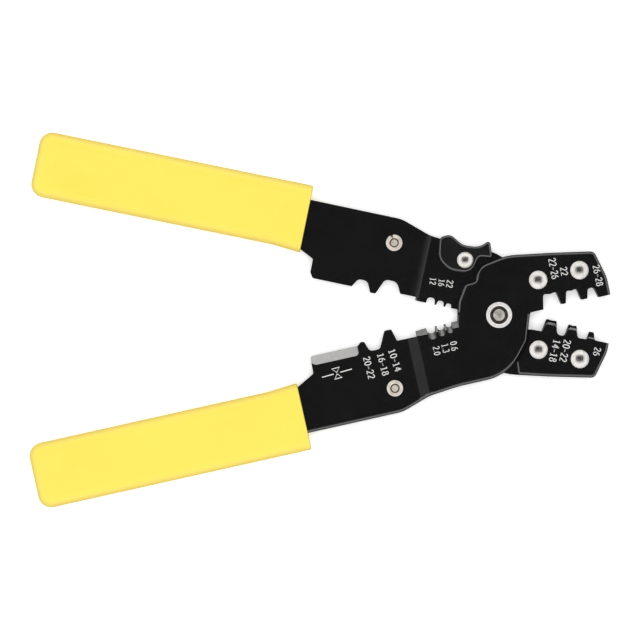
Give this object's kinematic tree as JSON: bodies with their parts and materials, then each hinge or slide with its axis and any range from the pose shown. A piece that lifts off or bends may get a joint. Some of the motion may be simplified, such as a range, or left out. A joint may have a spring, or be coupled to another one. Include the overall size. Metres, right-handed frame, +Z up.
{
  "type": "wire stripper",
  "caption": "Flat two-lever hand tool lying open, with crimping jaws, stripping notches, handle nests with a cutter, a thumb lock and slip-on grips",
  "frame": {"origin": "on the surface that the tool lies on, below the middle of the open tool's outline", "axes": "+X from the handles to the jaws, +Y towards the upper handle's side, +Z up from the surface, square to the plates"},
  "size_m": [0.2128, 0.1372, 0.011],
  "materials": {
    "black_paint": "semi-gloss black",
    "latch_paint": "semi-gloss black",
    "rivet_steel": "bright plated",
    "tube_rivet_nickel": "nickel plated",
    "pivot_steel": "turned steel",
    "spring_steel": "spring steel",
    "marking_ink": "printed size numbers",
    "yellow_grip": "satin plastic"
  },
  "bodies": {
    "rear_half": {"rear_lever": "black_paint", "lower_jaw_die_plate": "black_paint", "lower_jaw_rivet_inner": "rivet_steel", "lower_jaw_rivet_outer": "rivet_steel", "upper_handle_backing_plate": "black_paint", "upper_handle_rivet": "tube_rivet_nickel", "upper_grip": "yellow_grip", "pivot_bush": "pivot_steel", "pivot_pin": "pivot_steel", "pivot_washer": "pivot_steel", "latch_rivet": "rivet_steel", "latch_washer": "spring_steel", "return_spring": "spring_steel"},
    "front_half": {"front_lever": "black_paint", "upper_jaw_die_plate": "black_paint", "upper_jaw_rivet_inner": "rivet_steel", "upper_jaw_rivet_outer": "rivet_steel", "lower_handle_backing_plate": "black_paint", "lower_handle_rivet": "tube_rivet_nickel", "lower_grip": "yellow_grip"},
    "latch": {"lock_latch": "latch_paint"}
  },
  "joints": [
    {"name": "jaws", "type": "hinge", "parent": "rear_half", "child": "front_half", "pos_m": [0.0655, 0.00182, 0.0055], "axis": [0, 0, -1], "range_deg": [0, 23.3], "stiffness_Nm_per_rad": 0.3, "deforming": ["return_spring"]},
    {"name": "lock", "type": "hinge", "parent": "rear_half", "child": "latch", "pos_m": [0.05311, 0.02194, 0.0055], "axis": [0, 0, -1], "range_deg": [-38, 4]}
  ]
}
